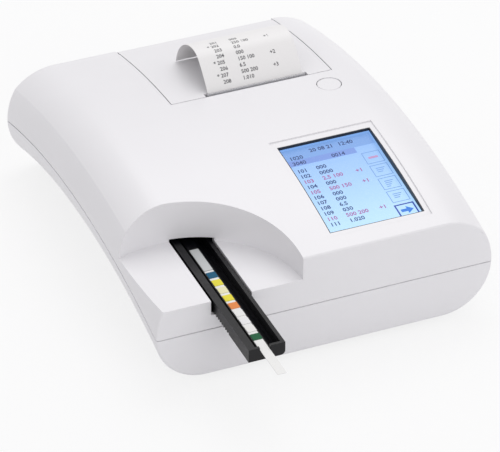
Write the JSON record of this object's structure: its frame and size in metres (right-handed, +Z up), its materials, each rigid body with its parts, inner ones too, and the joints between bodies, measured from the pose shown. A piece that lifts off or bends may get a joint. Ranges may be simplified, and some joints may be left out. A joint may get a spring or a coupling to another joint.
{
  "type": "urine analyzer",
  "caption": "Bench-top test-strip reader with an arched white body, sliding strip tray, touch screen and a roll-paper printer under a hinged lid.",
  "frame": {"origin": "middle of the body between the four feet, on the desk that it stands on", "axes": "+X to the right of a person facing the front, +Y to the rear sockets, +Z up; the tray slides along Y"},
  "size_m": [0.196, 0.3068, 0.0949],
  "materials": {
    "white_shell": "satin cool white, fine texture",
    "button_cap": "satin cool white",
    "black_rubber": "matte",
    "steel": "plated",
    "sheet_steel": "zinc plated sheet",
    "blade": "fine brushed",
    "circuit_board": "solder mask",
    "components": "moulded",
    "socket_black": "moulded",
    "socket_white": "moulded",
    "black_plastic": "fine satin",
    "tray_black": "fine satin",
    "touch_glass": "clear",
    "screen": "lit screen",
    "flat_cable": "satin",
    "motor_steel": "drawn can",
    "gear_nylon": "natural",
    "brass_gear": "turned",
    "aluminium": "extruded",
    "ceramic": "glazed",
    "paper": "smooth thermal paper",
    "core_plastic": "moulded",
    "reference_white": "matte grey white",
    "strip_white": "smooth white film",
    "reagent": "absorbent pads in different colours"
  },
  "bodies": {
    "housing": {"lower_housing": "white_shell", "upper_housing": "white_shell", "rubber_feet": "black_rubber", "housing_screws": "steel", "main_board": "circuit_board", "board_components": "components", "board_screws": "steel", "io_board": "circuit_board", "power_jack": "socket_black", "usb_port": "socket_white", "serial_port": "socket_black", "display_bezel": "black_plastic", "touch_panel": "touch_glass", "display_panel": "screen", "display_bracket": "sheet_steel", "display_screws": "steel", "display_ribbon": "flat_cable", "button_board": "circuit_board", "button_switch": "components", "button_spring": "steel", "tray_channel": "black_plastic", "channel_screws": "steel", "tray_motor": "motor_steel", "motor_bracket": "sheet_steel", "optical_head": "black_plastic", "optics_window": "touch_glass", "optics_board": "circuit_board", "lid_hinge_pin": "steel", "printer_motor": "motor_steel", "printer_frame": "sheet_steel", "head_heat_sink": "aluminium", "print_head": "ceramic", "head_springs": "steel", "head_ribbon": "flat_cable", "tear_bar": "blade", "paper_well": "black_plastic", "paper_web": "paper"},
    "button": {"power_button": "button_cap"},
    "tray": {"strip_tray": "tray_black", "reference_pad": "reference_white", "test_strip": "strip_white", "reagent_pads": "reagent"},
    "tray_pinion": {"drive_shaft": "steel", "rack_pinion": "gear_nylon", "reduction_gear": "gear_nylon"},
    "tray_rotor": {"tray_motor_pinion": "brass_gear"},
    "lid": {"printer_lid": "white_shell", "paper_strip": "paper"},
    "paper_roller": {"platen_shaft": "steel", "platen_rubber": "black_rubber", "platen_gear": "gear_nylon"},
    "idler": {"idler_gear": "gear_nylon"},
    "printer_rotor": {"printer_pinion": "brass_gear"},
    "roll": {"paper_roll": "paper", "paper_core": "core_plastic"}
  },
  "joints": [
    {"name": "tray_slide", "type": "slide", "parent": "housing", "child": "tray", "axis": [0, 1, 0], "range_m": [0, 0.105]},
    {"name": "tray_pinion_turn", "type": "hinge", "parent": "housing", "child": "tray_pinion", "pos_m": [-0.074, -0.0225, 0.03783], "axis": [1, 0, 0], "range_deg": [-1254, 0]},
    {"name": "tray_motor_turn", "type": "hinge", "parent": "housing", "child": "tray_rotor", "pos_m": [-0.076, -0.00549, 0.04233], "axis": [1, 0, 0], "range_deg": [0, 3343]},
    {"name": "lid_hinge", "type": "hinge", "parent": "housing", "child": "lid", "pos_m": [0.0185, 0.1149, 0.06056], "axis": [-1, 0, 0], "range_deg": [0, 75]},
    {"name": "paper_roll_spin", "type": "hinge", "parent": "housing", "child": "roll", "pos_m": [0.02175, 0.072, 0.0485], "axis": [1, 0, 0], "continuous": true},
    {"name": "paper_roller_spin", "type": "hinge", "parent": "lid", "child": "paper_roller", "pos_m": [0.02175, 0.03755, 0.06801], "axis": [1, 0, 0], "continuous": true},
    {"name": "idler_spin", "type": "hinge", "parent": "housing", "child": "idler", "pos_m": [-0.01755, 0.03755, 0.05626], "axis": [1, 0, 0], "continuous": true},
    {"name": "printer_motor_spin", "type": "hinge", "parent": "housing", "child": "printer_rotor", "pos_m": [-0.01755, 0.03755, 0.04701], "axis": [1, 0, 0], "continuous": true},
    {"name": "button_press", "type": "slide", "parent": "housing", "child": "button", "axis": [0, 0, -1], "range_m": [0, 0.0006], "stiffness_N_per_m": 300, "deforming": ["button_spring"]}
  ],
  "couplings": [
    {"joint": "tray_pinion_turn", "follows": "tray_slide", "rad_per_m": -208.33},
    {"joint": "tray_motor_turn", "follows": "tray_slide", "rad_per_m": 555.56},
    {"joint": "paper_roller_spin", "follows": "paper_roll_spin", "ratio": -3.8},
    {"joint": "idler_spin", "follows": "paper_roll_spin", "ratio": 3.344},
    {"joint": "printer_motor_spin", "follows": "paper_roll_spin", "ratio": -6.9667}
  ]
}
